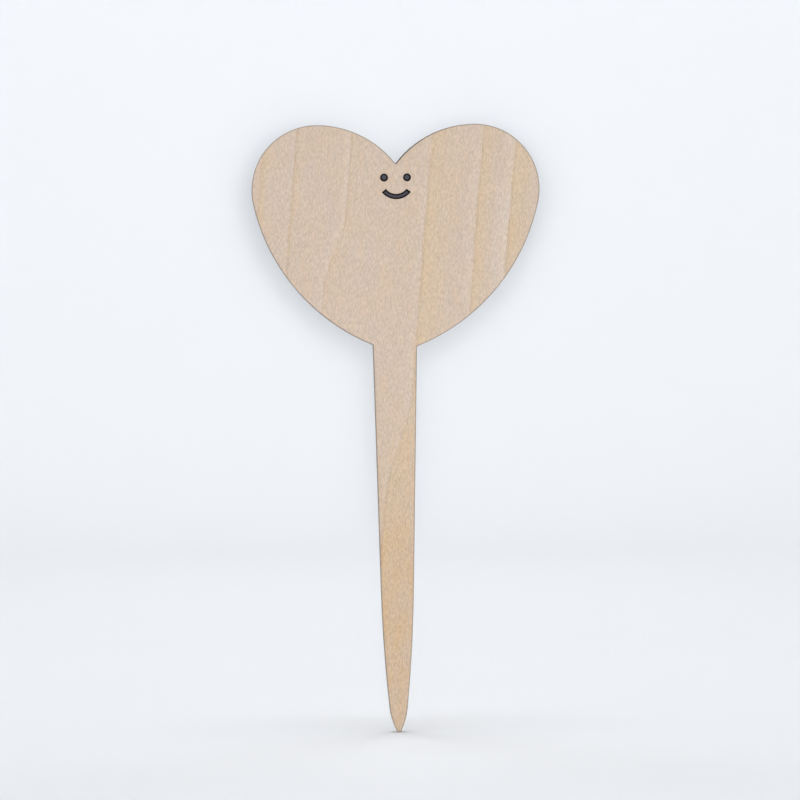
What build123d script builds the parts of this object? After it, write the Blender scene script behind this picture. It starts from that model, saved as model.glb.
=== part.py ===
import os

from build123d import *

# Plant label stake, cut from one sheet of thin three-ply wood, with a printed smile.
# The tip stands on the origin, +Z runs up the stake and the printed face looks along -Y.
# All sizes are millimetres and degrees, and outline sizes are those of the larger, back side.

# Heart head
stake_length = 150.0     # tip to the tops of the two lobes
heart_width = 71.0       # across the widest part
lobe_spacing = 38.9      # between the tops of the lobes
cleft_depth = 9.6        # from the tops of the lobes down to the cleft
shoulder_wrap = 12.4     # how far the shoulder's arc runs on past the widest part
heart_foot = 93.65       # height at which the two flanks would meet
heart_offset = 0.55      # heart's centre line, to the right of the stem's

# Stem and point
stem_top_width = 10.85   # at the height of the heart's foot
stem_low_width = 8.15    # at the lower end of the straight taper
shank_height = 35.0      # lower end of the straight taper
nose_width = 4.5         # where the long swell turns into the blunt nose
nose_height = 6.0
tip_radius = 0.7

# Sheet and cut
face_ply = 0.7
core_ply = 1.4
glue_film = 0.1
kerf_width = 0.2         # width of the laser's cut, which rounds the inner corners
kerf_lean = 1.2          # the cut narrows with depth, so the back comes out larger

# Printed smile, measured down from the cleft
ink_film = 0.06
eye_diameter = 1.97
eye_spacing = 5.64
eye_drop = 3.47
smile_drop = 8.17        # lowest point of the arc's centre line
smile_offset = 0.15      # arc's centre line, to the right of the heart's
smile_radius = 3.86
smile_angle = 105.0
smile_stroke = 1.32

# Plies and glue films in the order in which they are laid up, from the back
layers = [
    ("back_veneer", face_ply),
    ("back_glue_line", glue_film),
    ("core_veneer", core_ply),
    ("front_glue_line", glue_film),
    ("face_veneer", face_ply),
]
sheet_thickness = sum(thickness for name, thickness in layers)
back_plane = Plane.XZ.offset(-sheet_thickness / 2)
front_plane = Plane.XZ.offset(sheet_thickness / 2)
cleft_height = stake_length - cleft_depth

# Right half of the heart, from the cleft over the lobe and the shoulder to the foot, then mirrored
with BuildSketch() as heart:
    with BuildLine():
        lobe_top = (lobe_spacing / 2, stake_length)
        crown = TangentArc(lobe_top, (0, cleft_height), tangent=(-1, 0))
        shoulder = JernArc(
            start=lobe_top,
            tangent=(1, 0),
            radius=(heart_width - lobe_spacing) / 2,
            arc_size=-(90 + shoulder_wrap),
        )
        flank = TangentArc(shoulder @ 1, (0, heart_foot), tangent=shoulder % 1)
        Line(flank @ 1, crown @ 1)
    make_face()
    mirror(about=Plane.YZ)

# Right half of the stem, from its root inside the heart down to the tip, then mirrored
root_height = heart_foot + stem_top_width
stem_taper = (stem_top_width - stem_low_width) / 2 / (heart_foot - shank_height)
root_half_width = stem_top_width / 2 + stem_taper * (root_height - heart_foot)
with BuildSketch() as stem:
    with BuildLine():
        side = Line((root_half_width, root_height), (stem_low_width / 2, shank_height))
        swell = TangentArc(side @ 1, (nose_width / 2, nose_height), tangent=side % 1)
        # The nose's arc leaves the swell smoothly and runs smoothly into the tip's circle
        tip_center = Vector(0, tip_radius)
        inward = (swell % 1).rotate(Axis.Z, -90)
        reach = swell @ 1 - tip_center
        nose_radius = (tip_radius**2 - reach.dot(reach)) / 2 / (reach.dot(inward) + tip_radius)
        nose_center = swell @ 1 + inward * nose_radius
        nose_end = nose_center + (tip_center - nose_center).normalized() * nose_radius
        nose = TangentArc(swell @ 1, nose_end, tangent=swell % 1)
        tip = TangentArc(nose @ 1, (0, 0), tangent=nose % 1)
        Polyline(tip @ 1, (0, root_height), side @ 0)
    make_face()
    mirror(about=Plane.YZ)

# Whole outline on the back of the sheet, with the inner corners as round as the cut makes them
with BuildSketch() as outline:
    with Locations((heart_offset, 0)):
        add(heart.sketch)
    add(stem.sketch)
    cleft_corner = outline.vertices().sort_by_distance((heart_offset, cleft_height))[0]
    stem_corners = outline.vertices().sort_by_distance((0, heart_foot))[:2]
    fillet([cleft_corner, *stem_corners], radius=kerf_width / 2)

os.makedirs("parts", exist_ok=True)

# The sheet cut through in one go, with the leaning wall that the cut leaves
with BuildPart() as sheet:
    with BuildSketch(back_plane):
        add(outline.sketch)
    walls = extrude(amount=sheet_thickness).faces().filter_by(Axis.Y, reverse=True)
    draft(walls, neutral_plane=back_plane, angle=kerf_lean)

# Plies and glue films, each a slice of the cut sheet
layer_depth = 0.0
for layer_name, layer_thickness in layers:
    with BuildPart() as layer:
        add(sheet.part)
        split(bisect_by=back_plane.offset(layer_depth), keep=Keep.TOP)
        layer_depth += layer_thickness
        split(bisect_by=back_plane.offset(layer_depth), keep=Keep.BOTTOM)
    layer.part.label = layer_name
    export_step(layer.part, f"parts/{layer_name}.step")

# Eyes, two dots of ink
for eye_name, eye_side in (("left_eye", -1), ("right_eye", 1)):
    with BuildPart() as eye:
        with BuildSketch(front_plane):
            with Locations((heart_offset + eye_side * eye_spacing / 2, cleft_height - eye_drop)):
                Circle(eye_diameter / 2)
        extrude(amount=ink_film)
    eye.part.label = eye_name
    export_step(eye.part, f"parts/{eye_name}.step")

# Smile, a square-ended stroke of ink along an arc
with BuildPart() as smile:
    with BuildSketch(front_plane):
        with BuildLine():
            CenterArc(
                center=(heart_offset + smile_offset, cleft_height - smile_drop + smile_radius),
                radius=smile_radius,
                start_angle=-90 - smile_angle / 2,
                arc_size=smile_angle,
            )
        trace(line_width=smile_stroke)
    extrude(amount=ink_film)
smile.part.label = "smile"
export_step(smile.part, "parts/smile.step")
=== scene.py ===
import math

import bpy
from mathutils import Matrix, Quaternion, Vector
from mathutils.geometry import intersect_point_line


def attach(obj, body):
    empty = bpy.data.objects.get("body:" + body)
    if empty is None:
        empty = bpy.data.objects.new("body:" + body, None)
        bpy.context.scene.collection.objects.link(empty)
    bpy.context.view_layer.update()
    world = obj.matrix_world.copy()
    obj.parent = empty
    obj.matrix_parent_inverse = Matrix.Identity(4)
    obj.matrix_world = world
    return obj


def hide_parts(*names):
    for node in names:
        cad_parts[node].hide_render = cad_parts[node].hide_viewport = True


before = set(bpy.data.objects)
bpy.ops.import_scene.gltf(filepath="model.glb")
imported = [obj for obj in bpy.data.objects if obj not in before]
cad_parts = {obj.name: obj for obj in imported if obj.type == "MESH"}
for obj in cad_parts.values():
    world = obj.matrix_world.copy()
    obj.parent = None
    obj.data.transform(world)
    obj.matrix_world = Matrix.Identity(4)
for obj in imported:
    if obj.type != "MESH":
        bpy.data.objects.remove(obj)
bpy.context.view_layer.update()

scene = bpy.context.scene
mm = 0.001
tiny = 0.001 * mm  # places closer than this are one
mapLimits = ("From Min", "From Max", "To Min", "To Max")


def linearColour(hexText):  # sRGB hex to linear
    channels = [int(hexText[i:i + 2], 16) / 255 for i in (1, 3, 5)]
    return [c / 12.92 if c <= 0.04045 else ((c + 0.055) / 1.055) ** 2.4 for c in channels] + [1.0]


def addNode(material, kind, settings=None, links=None):  # one node with its settings and what feeds it
    made = material.node_tree.nodes.new("ShaderNode" + kind)
    for key, value in (settings or {}).items():
        if key == "stops":  # places and colours along a ramp
            while len(made.color_ramp.elements) < len(value):
                made.color_ramp.elements.new(1.0)
            for element, (position, colour) in zip(made.color_ramp.elements, value):
                element.position = position
                element.color = colour
        elif isinstance(key, int) or key in made.inputs:
            made.inputs[key].default_value = value
        else:
            setattr(made, key, value)
    for key, source in (links or {}).items():
        if isinstance(source, bpy.types.Node):
            source = next(output for output in source.outputs if output.enabled)
        material.node_tree.links.new(source, made.inputs[key])
    return made


def newMaterial(name):
    material = bpy.data.materials.new(name)
    material.use_nodes = True
    material.node_tree.nodes.clear()
    return material


def selectWhere(piece, part, test):  # part is vertices, edges or polygons
    bpy.ops.object.mode_set(mode="EDIT")
    bpy.ops.mesh.select_mode(type={"vertices": "VERT", "edges": "EDGE", "polygons": "FACE"}[part])
    bpy.ops.mesh.select_all(action="DESELECT")
    bpy.ops.object.mode_set(mode="OBJECT")
    for item in getattr(piece.data, part):
        item.select = test(item)
    bpy.ops.object.mode_set(mode="EDIT")


# Camera, where the photograph was taken from
cameraView = {
    "lens": 200.0,
    "sensor": 36.0,
    "picture": 800,           # pixels across
    "scale": 0.2465,          # millimetres to a pixel on the stake's face
    "tip": (399.05, 733.15),  # pixel of the stake's tip
    "face": -1.5,             # the printed face, along Y
    "roll": 0.594,            # degrees, heart to the left
    "side": -1.2,             # degrees, the camera stands a little to the left
    "rise": 1.4,              # degrees, and a little above
}


def placeCamera(view):
    roll, side, rise = (math.radians(view[key]) for key in ("roll", "side", "rise"))
    across = (view["picture"] / 2 - view["tip"][0]) * view["scale"]
    up = (view["tip"][1] - view["picture"] / 2) * view["scale"]
    aim = Vector((
        across * math.cos(roll) + up * math.sin(roll),
        view["face"],
        up * math.cos(roll) - across * math.sin(roll),
    )) * mm
    back = Vector((
        math.sin(side) * math.cos(rise),
        -math.cos(side) * math.cos(rise),
        math.sin(rise),
    ))
    distance = view["scale"] * mm * view["picture"] * view["lens"] / view["sensor"]
    bpy.ops.object.camera_add(location=aim + back * distance)
    camera = bpy.context.object
    camera.name = "photoCamera"
    camera.rotation_mode = "QUATERNION"
    camera.rotation_quaternion = (-back).to_track_quat("-Z", "Y") @ Quaternion((0, 0, 1), -roll)
    camera.data.lens = view["lens"]
    camera.data.sensor_width = view["sensor"]
    camera.data.dof.use_dof = False
    scene.camera = camera
    return camera, aim


camera, aim = placeCamera(cameraView)
print("camera", [round(c, 3) for c in camera.location])


# Pale round bowl to stand on, whose paint glows a little so that it looks the same from all sides
studioBowl = {
    "radius": 1.25,
    "height": 0.86,
    "cove": 0.47,
    "coveSteps": 24,
    "sides": 128,
    "paint": "#EEF0F3",
    "glow": 0.006,
}


def makeBowl(bowl):
    bpy.ops.object.select_all(action="DESELECT")
    bpy.ops.mesh.primitive_cylinder_add(
        vertices=bowl["sides"],
        radius=bowl["radius"],
        depth=bowl["height"],
        location=(0, 0, bowl["height"] / 2),
    )
    floor = bpy.context.object
    floor.name = "studioBowl"
    bpy.ops.object.transform_apply(location=True)
    selectWhere(floor, "polygons", lambda face: face.normal.z > 0.5)
    bpy.ops.mesh.delete(type="ONLY_FACE")  # open above
    points = floor.data.vertices
    selectWhere(floor, "edges", lambda edge: all(points[v].co.z < mm for v in edge.vertices))
    bpy.ops.mesh.bevel(offset=bowl["cove"], segments=bowl["coveSteps"], affect="EDGES", clamp_overlap=False)
    bpy.ops.mesh.select_all(action="SELECT")
    bpy.ops.mesh.flip_normals()  # seen from inside
    bpy.ops.object.mode_set(mode="OBJECT")
    bpy.ops.object.shade_smooth()
    paint = newMaterial("mattPaleStudioPaint")
    colour = linearColour(bowl["paint"])
    shader = addNode(paint, "BsdfPrincipled", {
        "Base Color": colour,
        "Roughness": 0.9,
        "Specular IOR Level": 0.0,
        "Emission Color": colour,
        "Emission Strength": bowl["glow"],
    })
    addNode(paint, "OutputMaterial", links={"Surface": shader})
    floor.data.materials.append(paint)
    return floor


makeBowl(studioBowl)
print("bowl made")


# Soft lights, in metres and watts. The two beside the camera don't fade with distance,
# so the far wall takes the soft shadow that the stake throws in the photograph.
besideCamera = camera.location + Vector((3.0, 76.0, 5.0)) * mm
studioLights = {
    "besideCamera": {"place": besideCamera, "size": 0.016, "power": 3.35, "fades": False},
    "roundCamera": {"place": besideCamera, "size": 0.045, "power": 2.35, "fades": False},
    "sideRight": {"place": (1.48, -0.16, 1.40), "size": 0.94, "power": 2.0},
    "sideLeft": {"place": (-1.48, -0.16, 1.40), "size": 0.94, "power": 2.0},
    "rearRight": {"place": (0.78, 1.25, 1.40), "size": 0.94, "power": 5.0},
    "rearLeft": {"place": (-0.78, 1.25, 1.40), "size": 0.94, "power": 5.0},
    "overFloor": {
        "place": (0.0, 0.76, 1.72), "size": 0.94, "power": 0.8, "aim": (0.0, 0.76, 0.0), "spread": 50.0,
    },
    "overTip": {
        "place": (0.0, -0.16, 1.87), "size": 0.94, "power": 2.6, "aim": (0.0, -0.16, 0.0), "spread": 65.0,
    },
}
paleRoom = {"colour": "#F4F6FA", "strength": 0.02}


def placeLights(lights):
    for name, setting in lights.items():
        bpy.ops.object.light_add(type="AREA", location=setting["place"])
        lamp = bpy.context.object
        lamp.name = name
        lamp.data.shape = "DISK"
        lamp.data.size = setting["size"]
        lamp.data.energy = setting["power"]
        lamp.data.spread = math.radians(setting.get("spread", 180.0))
        lamp.rotation_mode = "QUATERNION"
        towards = Vector(setting.get("aim", aim)) - Vector(setting["place"])
        lamp.rotation_quaternion = towards.to_track_quat("-Z", "Y")
        lamp.visible_camera = False
        if not setting.get("fades", True):
            lamp.data.use_nodes = True
            even = addNode(lamp.data, "LightFalloff", {"Strength": 1.0})
            glow = lamp.data.node_tree.nodes["Emission"]
            lamp.data.node_tree.links.new(even.outputs["Constant"], glow.inputs["Strength"])


placeLights(studioLights)
world = bpy.data.worlds.new("paleRoom")
world.use_nodes = True
background = world.node_tree.nodes["Background"]
background.inputs["Color"].default_value = linearColour(paleRoom["colour"])
background.inputs["Strength"].default_value = paleRoom["strength"]
scene.world = world
scene.view_settings.view_transform = "Standard"
print("lights placed")


# A copy of a CAD node to work on, merged and with its flat faces whole
def copyNode(node, name):
    bpy.ops.object.select_all(action="DESELECT")
    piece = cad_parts[node].copy()
    piece.data = piece.data.copy()
    for key in list(piece.keys()):
        del piece[key]
    piece.parent = None
    piece.name = piece.data.name = name
    scene.collection.objects.link(piece)
    piece.data.materials.clear()
    bpy.context.view_layer.objects.active = piece
    piece.select_set(True)
    bpy.ops.object.mode_set(mode="EDIT")
    bpy.ops.mesh.select_all(action="SELECT")
    bpy.ops.mesh.remove_doubles(threshold=tiny)
    bpy.ops.mesh.customdata_custom_splitnormals_clear()
    bpy.ops.mesh.dissolve_limited(angle_limit=math.radians(0.2))
    bpy.ops.object.mode_set(mode="OBJECT")
    return piece


def dressPiece(piece, node, material, smoothAngle):
    bpy.ops.object.shade_smooth_by_angle(angle=math.radians(smoothAngle))
    piece.data.materials.append(material)
    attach(piece, "root")
    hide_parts(node)
    print(piece.name, len(piece.data.polygons), "faces")


# Streaks that the beam leaves on the walls of the cut
beamStreak = {"width": 0.4, "length": 8.0}  # mm

# Lime veneer, peeled from the log and sanded: pale and even, finely flecked, with a few faint growth lines.
# A line is a thin darker edge with a pale strip on its left and a yellow band that fades away on its right.
faceGrain = {
    "lean": 5.2,                            # degrees, tops of the lines to the right
    "origin": (11.3, 0.0, 0.0),
    # mm across the grain, strength of the edge, then strength and width of the strip and of the band
    "lines": (
        (-33.6, 0.6, 0.0, 3.2, 0.8, 1.4),
        (-25.2, 0.95, 0.2, 3.2, 0.3, 3.0),
        (-14.0, 0.8, 0.6, 3.2, 0.4, 4.0),
        (8.1, 0.8, 0.3, 3.2, 0.9, 6.5),
        (20.5, 1.0, 0.5, 3.2, 0.9, 3.8),
        # the last line's pale strip is wider, which lightens the right of the heart
        (28.7, 0.9, 0.6, 5.8, 1.0, 4.5),
    ),
    "lineSteps": (-0.6, -0.1, 0.45),        # mm to the strip's end, the edge and the band's start
    "lineMargins": (6.0, 12.0),             # mm of plain wood before the first and after the last
    "swing": {"line": -14.0, "reach": 9.0, "heights": (106.5, 126.0), "shift": (2.4, -2.35)},
    "stemSwing": (57.0, 85.0, 4.6, 0.0),    # lines in the stem swing left between these heights
    "stemYellow": (28.0, 95.0, 1.0, 0.0),   # and the stem yellows downwards
    # noise patterns, in mm across and along the grain, and how much finer detail they hold
    "patterns": {
        "drift": (14.0, 50.0, 2.0),
        "waver": (1.6, 7.0, 2.0),
        "blotch": (9.0, 28.0, 2.0),
        "tint": (2.4, 7.0, 3.0),
        "fleck": (0.45, 1.5, 3.0),
        "grit": (0.24, 0.85, 1.0),
        "pore": (0.25, 2.2, 1.0),           # real pores are 0.06 mm wide, and are drawn wider to show
    },
    "shifts": {"drift": 2.2, "waver": 0.6},  # mm that these two move the lines
    # the other patterns: their noise from and to, and the strengths that this gives
    "ranges": {
        "blotch": (0.35, 0.70, 0.0, 0.5),
        "tint": (0.30, 0.70, 0.0, 1.0),
        "fleck": (0.30, 0.70, -0.035, 0.035),
        "grit": (0.30, 0.70, -0.125, 0.125),
        "pore": (0.60, 0.76, 0.0, 0.07),
    },
    "stemTexture": (0.0, 0.35, 0.96, 1.08),  # flecks grow stronger with the stem's yellow
    "streakRange": (0.30, 0.70, 0.70, 1.25),
    "roughRange": (0.30, 0.70, 0.62, 0.76),
    "tipBrowning": (0.1, 0.6, 0.6, 0.0),      # the face browns towards the very tip, up to this height
    "wood": "#C8B6A7",
    "pale": "#D1C3B7",
    "yellow": "#CAB59B",
    "line": "#BFA790",
    "blush": "#C9B6A7",
    "stem": "#F8F2E8",                      # tints over the grain
    "coolTint": "#FAFAF9",
    "warmTint": "#FEF9EF",
    "stemTint": "#FFF6E2",
    "toast": "#8F8173",                     # burnt wood
    "longGrainChar": "#7E6A58",
    "endGrainChar": "#665343",
    # the darkest brown, reached only near the cleft, where it is soot and painted shade
    "cleftSootAndShade": "#3A3430",
}
backGrain = dict(
    faceGrain,
    lean=-3.0,
    origin=(140.0, 0.0, 60.0),
    lines=(
        (109.0, 0.7, 0.4, 3.2, 0.8, 5.0),
        (121.0, 0.6, 0.3, 3.2, 0.6, 3.5),
        (130.5, 0.9, 0.5, 3.2, 0.9, 5.0),
        (143.0, 0.5, 0.3, 3.2, 0.6, 6.0),
        (160.0, 0.8, 0.5, 3.2, 0.9, 4.0),
        (171.0, 0.6, 0.3, 3.2, 0.6, 3.0),
    ),
    swing={"line": 143.0, "reach": 10.0, "heights": (150.0, 205.0), "shift": (-2.0, 2.5)},
    stemSwing=(110.0, 150.0, -2.5, 0.0),
    stemYellow=(80.0, 152.0, 0.7, 0.0),
    wood="#C5B19C",
)


def bendGrain(veneer, grain, across, height, noise):  # distance across the grain, bent and wavering a little
    swing = grain["swing"]
    smooth = {"interpolation_type": "SMOOTHSTEP"}
    offLine = addNode(veneer, "Math", {"operation": "SUBTRACT", 1: swing["line"]}, {0: across})
    farLine = addNode(veneer, "Math", {"operation": "ABSOLUTE"}, {0: offLine})
    fade = dict(zip(mapLimits, (0.0, swing["reach"], 1.0, 0.0)), **smooth)
    nearLine = addNode(veneer, "MapRange", fade, {"Value": farLine})
    turn = dict(zip(mapLimits, swing["heights"] + swing["shift"]), **smooth)
    lineTurn = addNode(veneer, "MapRange", turn, {"Value": height})
    bent = addNode(veneer, "Math", {"operation": "MULTIPLY_ADD"}, {0: lineTurn, 1: nearLine, 2: across})
    turn = dict(zip(mapLimits, grain["stemSwing"]), **smooth)
    stemTurn = addNode(veneer, "MapRange", turn, {"Value": height})
    bent = addNode(veneer, "Math", {"operation": "ADD"}, {0: bent, 1: stemTurn})
    for key, reach in grain["shifts"].items():
        limits = dict(zip(mapLimits, (0.0, 1.0, -reach / 2, reach / 2)))
        shift = addNode(veneer, "MapRange", limits, {"Value": noise[key]})
        bent = addNode(veneer, "Math", {"operation": "ADD"}, {0: bent, 1: shift})
    return bent


def drawGrowthLines(veneer, grain, bent):
    tones = ("wood", "pale", "yellow", "line")
    wood, pale, yellow, line = (Vector(linearColour(grain[tone])) for tone in tones)
    stripEnd, edge, bandStart = grain["lineSteps"]
    before, after = grain["lineMargins"]
    first = grain["lines"][0][0] - before
    last = grain["lines"][-1][0] + after
    stops = []
    for middle, depth, paleness, paleWidth, warmth, warmWidth in grain["lines"]:
        steps = (
            (-paleWidth, wood),
            (stripEnd, wood.lerp(pale, paleness)),
            (edge, wood.lerp(line, depth)),
            (bandStart, wood.lerp(yellow, warmth)),
            (bandStart + warmWidth, wood),
        )
        stops += [((middle + step - first) / (last - first), colour) for step, colour in steps]
    acrossAll = addNode(veneer, "MapRange", dict(zip(mapLimits, (first, last, 0.0, 1.0))), {"Value": bent})
    return addNode(veneer, "ValToRGB", {"stops": stops}, {"Fac": acrossAll})


def tintWood(veneer, grain, colour, height, shares):  # blotches, yellower stem, flecks and open pores
    yellowing = dict(zip(mapLimits, grain["stemYellow"]), interpolation_type="SMOOTHSTEP")
    stemYellow = addNode(veneer, "MapRange", yellowing, {"Value": height})
    for key, factor, blend in (("blush", shares["blotch"], "MIX"), ("stem", stemYellow, "MULTIPLY")):
        colour = addNode(veneer, "Mix", {
            "data_type": "RGBA",
            "blend_type": blend,
            7: linearColour(grain[key]),
        }, {0: factor, 6: colour})
    warmTint = addNode(veneer, "Mix", {
        "data_type": "RGBA",
        6: linearColour(grain["warmTint"]),
        7: linearColour(grain["stemTint"]),
    }, {0: stemYellow})
    tint = addNode(veneer, "Mix", {
        "data_type": "RGBA",
        6: linearColour(grain["coolTint"]),
    }, {0: shares["tint"], 7: warmTint})
    colour = addNode(veneer, "VectorMath", {"operation": "MULTIPLY"}, {0: colour, 1: tint})
    strength = addNode(veneer, "MapRange", dict(zip(mapLimits, grain["stemTexture"])), {"Value": stemYellow})
    shade = addNode(veneer, "Math", {"operation": "ADD"}, {0: shares["fleck"], 1: shares["grit"]})
    shade = addNode(veneer, "Math", {"operation": "SUBTRACT"}, {0: shade, 1: shares["pore"]})
    shade = addNode(veneer, "Math", {"operation": "MULTIPLY_ADD", 2: 1.0}, {0: shade, 1: strength})
    return addNode(veneer, "VectorMath", {"operation": "SCALE"}, {0: colour, "Scale": shade})


def streakWall(material, place, detail, roughness):  # noise drawn out along the beam
    width, length = (beamStreak[key] * mm for key in ("width", "length"))
    beam = addNode(material, "Mapping", {"Scale": (1 / width, 1 / length, 1 / width)},
                   {"Vector": place.outputs["Object"]})
    noise = {"Scale": 1.0, "Detail": detail, "Roughness": roughness}
    return addNode(material, "TexNoise", noise, {"Vector": beam})


# Browned wall of the cut, darker where it crosses the grain, the scorch of the rim with painted shade in the
# cleft, and browning at the tip, from toasted at 0.5 through charred at 1 to sooty at 1.5; above 1 comes
# only in the cleft, as soot and painted shade
def brownCut(veneer, grain, colour, place, streak):
    facing = addNode(veneer, "SeparateXYZ", links={"Vector": place.outputs["Normal"]})
    endGrain = addNode(veneer, "Math", {"operation": "ABSOLUTE"}, {0: facing.outputs["Z"]})
    char = addNode(veneer, "Mix", {
        "data_type": "RGBA",
        6: linearColour(grain["longGrainChar"]),
        7: linearColour(grain["endGrainChar"]),
    }, {0: endGrain})
    streakShade = addNode(veneer, "MapRange", dict(zip(mapLimits, grain["streakRange"])), {"Value": streak})
    char = addNode(veneer, "VectorMath", {"operation": "SCALE"}, {0: char, "Scale": streakShade})
    low, high, most, least = grain["tipBrowning"]
    upright = addNode(veneer, "SeparateXYZ", links={"Vector": place.outputs["Object"]})
    tipLimits = dict(zip(mapLimits, (low * mm, high * mm, most, least)))
    tipBrowning = addNode(veneer, "MapRange", tipLimits, {"Value": upright.outputs["Z"]})
    # the rim's scorch, which near the cleft also holds painted shade
    rimScorchAndShade = addNode(veneer, "Attribute", {"attribute_name": "scorch"})
    scorch = addNode(veneer, "Math", {"operation": "MAXIMUM"}, {0: rimScorchAndShade.outputs["Fac"], 1: tipBrowning})
    toasted, charred, cleftSootAndShadeShare = (
        addNode(veneer, "MapRange", dict(zip(mapLimits, (start, start + 0.5, 0.0, 1.0))), {"Value": scorch})
        for start in (0.0, 0.5, 1.0)
    )
    toast = {"data_type": "RGBA", 7: linearColour(grain["toast"])}
    cleftSootAndShade = {"data_type": "RGBA", 7: linearColour(grain["cleftSootAndShade"])}
    colour = addNode(veneer, "Mix", toast, {0: toasted, 6: colour})
    colour = addNode(veneer, "Mix", {"data_type": "RGBA"}, {0: charred, 6: colour, 7: char})
    return addNode(veneer, "Mix", cleftSootAndShade, {0: cleftSootAndShadeShare, 6: colour})


def makeVeneer(name, grain):
    veneer = newMaterial(name)
    place = addNode(veneer, "TexCoord")
    fibres = addNode(veneer, "Mapping", {
        "Scale": (1 / mm, 1 / mm, 1 / mm),
        "Rotation": (0.0, -math.radians(grain["lean"]), 0.0),
        "Location": grain["origin"],
    }, {"Vector": place.outputs["Object"]})
    axes = addNode(veneer, "SeparateXYZ", links={"Vector": fibres})
    across, height = axes.outputs["X"], axes.outputs["Z"]
    noise = {}
    for key, (width, length, detail) in grain["patterns"].items():
        drawn = addNode(veneer, "VectorMath", {
            "operation": "MULTIPLY",
            1: (1 / width, 1 / width, 1 / length),
        }, {0: fibres})
        noise[key] = addNode(veneer, "TexNoise", {"Scale": 1.0, "Detail": detail}, {"Vector": drawn})
    shares = {}
    for key, limits in grain["ranges"].items():
        shares[key] = addNode(veneer, "MapRange", dict(zip(mapLimits, limits)), {"Value": noise[key]})
    bent = bendGrain(veneer, grain, across, height, noise)
    colour = drawGrowthLines(veneer, grain, bent)
    colour = tintWood(veneer, grain, colour, height, shares)
    streak = streakWall(veneer, place, detail=3.0, roughness=0.5)
    colour = brownCut(veneer, grain, colour, place, streak)
    relief = addNode(veneer, "Math", {"operation": "ADD"}, {0: noise["fleck"], 1: streak})
    relief = addNode(veneer, "Math", {"operation": "SUBTRACT"}, {0: relief, 1: shares["pore"]})
    bump = addNode(veneer, "Bump", {"Strength": 0.5, "Distance": 0.02 * mm}, {"Height": relief})
    rough = addNode(veneer, "MapRange", dict(zip(mapLimits, grain["roughRange"])), {"Value": noise["fleck"]})
    shader = addNode(veneer, "BsdfPrincipled", {"IOR": 1.5, "Specular IOR Level": 0.3}, {
        "Base Color": colour,
        "Roughness": rough,
        "Normal": bump,
    })
    addNode(veneer, "OutputMaterial", links={"Surface": shader})
    return veneer


# Front and back plies. The cut breaks and browns their outer rim, most where it set out in the cleft, and
# there painted shade darkens the rim too.
outerPlies = {
    "face_veneer": {"name": "faceVeneer", "outward": -1,
                    "finish": "sandedLimeVeneerFace", "grain": faceGrain},
    "back_veneer": {"name": "backVeneer", "outward": 1,
                    "finish": "sandedLimeVeneerBack", "grain": backGrain},
}
plyRim = {
    "arris": 0.08,                          # mm
    "arrisSteps": 2,
    "bands": ((0.06, 0.35), (0.16, 0.0)),   # width in mm and scorch of its inner edge
    "arrisScorch": 0.55,
    "cutStart": (0.55, 140.4),              # mm along X and Z, the beam sets out from the cleft, which also takes painted shade
    "cleftScorchShadeReach": 20.0,                     # and scorches more on its way to the right, darkened further by painted shade
    # extra darkness near the cleft: scorch, and painted shade on the cleft's right wall
    "cleftScorchAndShade": 1.3,
    "smoothAngle": 18.0,
}


def paintSelected(piece, value, rim):  # scorch of the selected points, plus extra scorch and painted shade near the cleft
    start = Vector(rim["cutStart"]) * mm
    for point, paint in zip(piece.data.vertices, piece.data.attributes["scorch"].data):
        if not point.select:
            continue
        paint.value = value
        away = Vector((point.co.x, point.co.z)) - start
        # on the right of the cleft the value is raised by extra char and by painted shade
        if value > 0.0 and away.x > 0.0:
            nearness = max(0.0, 1.0 - away.length / (rim["cleftScorchShadeReach"] * mm))
            paint.value += rim["cleftScorchAndShade"] * nearness


def makeOuterPly(node, ply, rim):
    piece = copyNode(node, ply["name"])
    points = piece.data.vertices
    outerY = max(v.co.y * ply["outward"] for v in points) * ply["outward"]
    selectWhere(piece, "edges", lambda e: all(abs(points[v].co.y - outerY) < tiny for v in e.vertices))
    bpy.ops.mesh.bevel(
        offset=rim["arris"] * mm,
        segments=rim["arrisSteps"],
        affect="EDGES",
        clamp_overlap=False,
    )
    bpy.ops.object.mode_set(mode="OBJECT")
    piece.data.attributes.new("scorch", "FLOAT", "POINT")
    selectWhere(piece, "vertices", lambda v: True)
    bpy.ops.object.mode_set(mode="OBJECT")
    paintSelected(piece, 1.0, rim)
    selectWhere(piece, "vertices", lambda v: abs(v.co.y - outerY) < 1.5 * rim["arris"] * mm)
    bpy.ops.object.mode_set(mode="OBJECT")
    paintSelected(piece, rim["arrisScorch"], rim)
    selectWhere(piece, "polygons", lambda f: abs(f.normal.y) > 0.99 and abs(f.center.y - outerY) < tiny)
    for width, scorch in rim["bands"]:
        bpy.ops.mesh.inset(thickness=width * mm)
        bpy.ops.object.mode_set(mode="OBJECT")
        paintSelected(piece, scorch, rim)
        bpy.ops.object.mode_set(mode="EDIT")
    bpy.ops.object.mode_set(mode="OBJECT")
    dressPiece(piece, node, makeVeneer(ply["finish"], ply["grain"]), rim["smoothAngle"])


for nodeName, outerPly in outerPlies.items():
    makeOuterPly(nodeName, outerPly, plyRim)


# Core and glue films show only their cut edge: brown cross grain, with darker baked glue on either side
bakedGlue = {"slot": "glue", "finish": "bakedGlueFilm", "longGrain": "#453830", "endGrain": "#3C3029"}
innerLayers = {
    "core_veneer": {"name": "coreVeneer", "slot": "core_veneer", "finish": "laserCutCrossGrain",
                    "longGrain": "#7D644E", "endGrain": "#664F3B"},
    "front_glue_line": dict(bakedGlue, name="frontGlueLine"),
    "back_glue_line": dict(bakedGlue, name="backGlueLine"),
}
cutEdge = {"streakRange": (0.30, 0.70, 0.65, 1.30), "relief": 0.03}  # relief in mm


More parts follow.
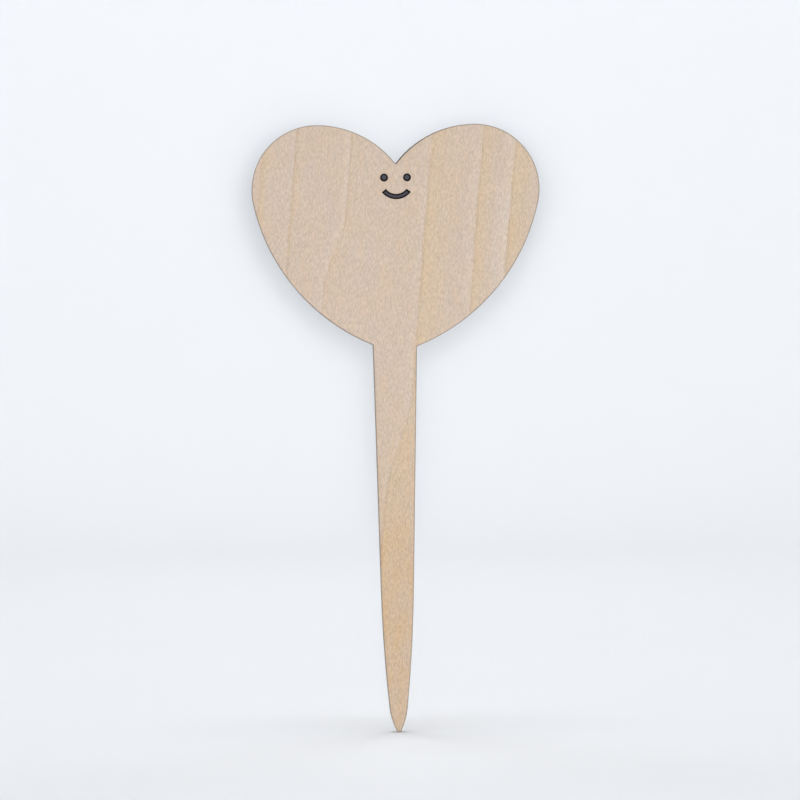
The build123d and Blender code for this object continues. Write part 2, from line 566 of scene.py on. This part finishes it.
def makeCutEdge(layer, cut):
    edge = newMaterial(layer["finish"])
    place = addNode(edge, "TexCoord")
    facing = addNode(edge, "SeparateXYZ", links={"Vector": place.outputs["Normal"]})
    endGrain = addNode(edge, "Math", {"operation": "ABSOLUTE"}, {0: facing.outputs["X"]})
    colour = addNode(edge, "Mix", {
        "data_type": "RGBA",
        6: linearColour(layer["longGrain"]),
        7: linearColour(layer["endGrain"]),
    }, {0: endGrain})
    streak = streakWall(edge, place, detail=4.0, roughness=0.6)
    shade = addNode(edge, "MapRange", dict(zip(mapLimits, cut["streakRange"])), {"Value": streak})
    colour = addNode(edge, "VectorMath", {"operation": "SCALE"}, {0: colour, "Scale": shade})
    bump = addNode(edge, "Bump", {"Strength": 0.6, "Distance": cut["relief"] * mm}, {"Height": streak})
    shader = addNode(edge, "BsdfPrincipled", {"Roughness": 0.75, "IOR": 1.5, "Specular IOR Level": 0.3},
                     {"Base Color": colour, "Normal": bump})
    addNode(edge, "OutputMaterial", links={"Surface": shader})
    return edge


for nodeName, layer in innerLayers.items():
    layerPiece = copyNode(nodeName, layer["name"])
    layerFinish = bpy.data.materials.get(layer["finish"]) or makeCutEdge(layer, cutEdge)
    dressPiece(layerPiece, nodeName, layerFinish, plyRim["smoothAngle"])


# Printed smile in matt blue-black ink, a thin film that is darker round its rim
printInk = {
    "nodes": {"left_eye": "leftEye", "right_eye": "rightEye", "smile": "smileArc"},
    "edge": 0.03,                       # mm
    "edgeSteps": 2,
    "cuts": 5,
    "rimFade": (0.26, 0.50, 1.0, 0.0),  # mm from the edge, and the darkness there
    "grit": 0.3,                        # mm
    "gritRange": (0.30, 0.70, 0.80, 1.20),
    "middle": "#4B4850",
    "rimColour": "#0C0B0D",
}


def makeInk(ink):
    film = newMaterial("mattPrintedInk")
    place = addNode(film, "TexCoord")
    grit = addNode(film, "TexNoise", {"Scale": 1 / (ink["grit"] * mm), "Detail": 2.0},
                   {"Vector": place.outputs["Object"]})
    rim = addNode(film, "Attribute", {"attribute_name": "inkRim"})
    colour = addNode(film, "Mix", {
        "data_type": "RGBA",
        6: linearColour(ink["middle"]),
        7: linearColour(ink["rimColour"]),
    }, {0: rim.outputs["Fac"]})
    shade = addNode(film, "MapRange", dict(zip(mapLimits, ink["gritRange"])), {"Value": grit})
    colour = addNode(film, "VectorMath", {"operation": "SCALE"}, {0: colour, "Scale": shade})
    bump = addNode(film, "Bump", {"Strength": 0.3, "Distance": 0.01 * mm}, {"Height": grit})
    shader = addNode(film, "BsdfPrincipled", {"Roughness": 0.85, "IOR": 1.5, "Specular IOR Level": 0.15},
                     {"Base Color": colour, "Normal": bump})
    addNode(film, "OutputMaterial", links={"Surface": shader})
    return film


def awayFromEdge(place, first, second):  # distance to the nearest point between two others
    along = intersect_point_line(place, first, second)[1]
    nearest = first.lerp(second, min(1.0, max(0.0, along)))
    return (place - nearest).length


def printPatch(node, name, ink, film):
    piece = copyNode(node, name)
    outerY = min(v.co.y for v in piece.data.vertices)
    points = piece.data.vertices
    selectWhere(piece, "edges", lambda e: all(points[v].co.y < outerY + tiny for v in e.vertices))
    bpy.ops.mesh.bevel(offset=ink["edge"] * mm, segments=ink["edgeSteps"], affect="EDGES")
    bpy.ops.object.mode_set(mode="OBJECT")
    selectWhere(piece, "polygons", lambda f: f.normal.y < -0.99 and f.center.y < outerY + tiny)
    bpy.ops.object.mode_set(mode="OBJECT")
    points = [v.co.copy() for v in piece.data.vertices]
    edges = [(points[a], points[b]) for f in piece.data.polygons if f.select for a, b in f.edge_keys]
    bpy.ops.object.mode_set(mode="EDIT")
    bpy.ops.mesh.quads_convert_to_tris()
    bpy.ops.mesh.subdivide(number_cuts=ink["cuts"])
    bpy.ops.object.mode_set(mode="OBJECT")
    rim = piece.data.attributes.new("inkRim", "FLOAT", "POINT")
    near, far, most, least = ink["rimFade"]
    for point, paint in zip(piece.data.vertices, rim.data):
        inward = min(awayFromEdge(point.co, a, b) for a, b in edges) / mm
        share = min(1.0, max(0.0, (inward - near) / (far - near)))
        paint.value = most + (least - most) * share
    dressPiece(piece, node, film, plyRim["smoothAngle"])


inkFilm = makeInk(printInk)
for nodeName, patchName in printInk["nodes"].items():
    printPatch(nodeName, patchName, printInk, inkFilm)
